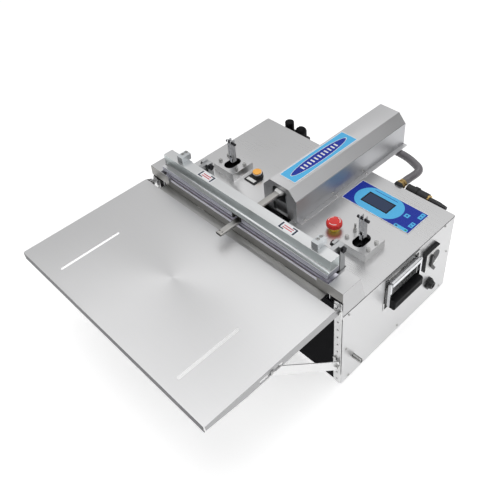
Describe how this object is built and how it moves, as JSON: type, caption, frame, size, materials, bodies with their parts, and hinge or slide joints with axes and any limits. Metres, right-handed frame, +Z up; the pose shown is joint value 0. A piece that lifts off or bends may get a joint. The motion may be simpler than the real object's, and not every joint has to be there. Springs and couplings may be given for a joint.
{
  "type": "nozzle vacuum sealer",
  "caption": "Benchtop vacuum bag sealer with a long sealing jaw, a retracting suction nozzle, a tilting worktable, air-driven lift rods and deck controls.",
  "frame": {"origin": "centre of the machine's box, on the plane under its rubber feet", "axes": "+X to the operator's right along the jaw, +Y away from the operator, +Z up"},
  "size_m": [0.756, 1.035, 0.4305],
  "materials": {
    "brushed_stainless": "cross-brushed stainless sheet, satin",
    "satin_table": "fine satin stainless sheet",
    "jaw_aluminium": "bright extruded aluminium",
    "plated_steel": "zinc-plated steel, bright",
    "handle_chrome": "polished plating",
    "black_panel": "satin black powder coat",
    "black_plastic": "fine-grained moulding",
    "foot_rubber": "matt rubber",
    "seal_silicone": "pale grey-violet silicone",
    "release_tape": "woven glass tape, brown",
    "stop_yellow": "glossy moulding",
    "stop_red": "glossy moulding",
    "button_amber": "translucent-looking amber cap",
    "overlay_blue": "printed film with plain shapes",
    "badge_blue": "printed plate with a plain ellipse",
    "display": "dark display window",
    "hose_grey": "reinforced hose",
    "brass": "machined brass",
    "board_green": "circuit board",
    "pump_grey": "grey painted casting",
    "guide_aluminium": "machined aluminium"
  },
  "bodies": {
    "root": {"base_tray": "brushed_stainless", "right_side_panel": "brushed_stainless", "left_side_panel": "brushed_stainless", "rear_panel": "brushed_stainless", "front_panel": "black_panel", "top_deck": "brushed_stainless", "front_shoulders": "brushed_stainless", "rubber_feet": "foot_rubber", "sheet_screws": "plated_steel", "lower_jaw": "jaw_aluminium", "silicone_strip": "seal_silicone", "lift_cylinders": "guide_aluminium", "pedestal_bolts": "plated_steel", "nozzle_housing": "brushed_stainless", "housing_badge": "badge_blue", "nozzle_drive": "guide_aluminium", "suction_manifold": "black_plastic", "stop_base": "stop_yellow", "button_plate": "black_plastic", "button_bezel": "black_plastic", "keypad_overlay": "overlay_blue", "display_window": "display", "control_board": "board_green", "switch_body": "black_plastic", "cable_gland": "black_plastic", "air_inlet": "plated_steel", "handle_plates": "black_plastic", "handle_brackets": "handle_chrome", "perforated_strips": "plated_steel", "hinge_tabs": "plated_steel", "hinge_pins": "plated_steel", "regulator_bodies": "black_plastic", "vacuum_hose": "hose_grey", "brass_fittings": "brass", "vacuum_filter": "black_plastic", "vacuum_pump": "pump_grey", "heating_transformer": "pump_grey", "solenoid_valves": "black_plastic"},
    "jaw": {"upper_jaw": "jaw_aluminium", "nozzle_gasket": "foot_rubber", "heater_bands": "release_tape", "jaw_clamps": "jaw_aluminium", "clamp_screws": "plated_steel", "jaw_arms": "plated_steel", "lift_posts": "plated_steel", "lift_pins": "plated_steel", "piston_rods": "plated_steel"},
    "nozzle": {"suction_nozzle": "plated_steel", "nozzle_carriage": "guide_aluminium"},
    "table": {"work_table": "satin_table"},
    "arms": {"support_arms": "plated_steel"},
    "stop_button": {"stop_head": "stop_red"},
    "start_button": {"button_cap": "button_amber"},
    "main_switch": {"switch_lever": "black_plastic"},
    "left_knob": {"left_regulator_knob": "black_plastic"},
    "right_knob": {"right_regulator_knob": "black_plastic"},
    "right_handle": {"right_handle_bail": "handle_chrome", "right_handle_grip": "black_plastic"},
    "left_handle": {"left_handle_bail": "handle_chrome", "left_handle_grip": "black_plastic"}
  },
  "joints": [
    {"name": "jaw_lift", "type": "slide", "parent": "root", "child": "jaw", "axis": [0, 0, 1], "range_m": [-0.013, 0]},
    {"name": "nozzle_slide", "type": "slide", "parent": "root", "child": "nozzle", "axis": [0, 1, 0], "range_m": [0, 0.11]},
    {"name": "table_tilt", "type": "hinge", "parent": "root", "child": "table", "pos_m": [0, -0.1215, 0.309], "axis": [1, 0, 0], "range_deg": [-6, 7]},
    {"name": "arm_swing", "type": "hinge", "parent": "root", "child": "arms", "pos_m": [0, -0.1215, 0.1], "axis": [1, 0, 0], "range_deg": [-7, 8]},
    {"name": "stop_press", "type": "slide", "parent": "root", "child": "stop_button", "axis": [0, 0, 1], "range_m": [-0.004, 0], "stiffness_N_per_m": 900},
    {"name": "start_press", "type": "slide", "parent": "root", "child": "start_button", "axis": [0, 0, 1], "range_m": [-0.003, 0], "stiffness_N_per_m": 500},
    {"name": "main_switch_turn", "type": "hinge", "parent": "root", "child": "main_switch", "pos_m": [0.358, 0.2525, 0.212], "axis": [1, 0, 0], "range_deg": [0, 90]},
    {"name": "left_knob_turn", "type": "hinge", "parent": "root", "child": "left_knob", "pos_m": [-0.276, 0.3705, 0.27], "axis": [0, 0, 1], "continuous": true},
    {"name": "right_knob_turn", "type": "hinge", "parent": "root", "child": "right_knob", "pos_m": [-0.2265, 0.3705, 0.27], "axis": [0, 0, 1], "continuous": true},
    {"name": "right_handle_swing", "type": "hinge", "parent": "root", "child": "right_handle", "pos_m": [0.361, 0.1205, 0.254], "axis": [0, -1, 0], "range_deg": [0, 95]},
    {"name": "left_handle_swing", "type": "hinge", "parent": "root", "child": "left_handle", "pos_m": [-0.361, 0.1205, 0.254], "axis": [0, 1, 0], "range_deg": [0, 95]}
  ],
  "couplings": [
    {"joint": "arm_swing", "follows": "table_tilt", "ratio": 1}
  ]
}
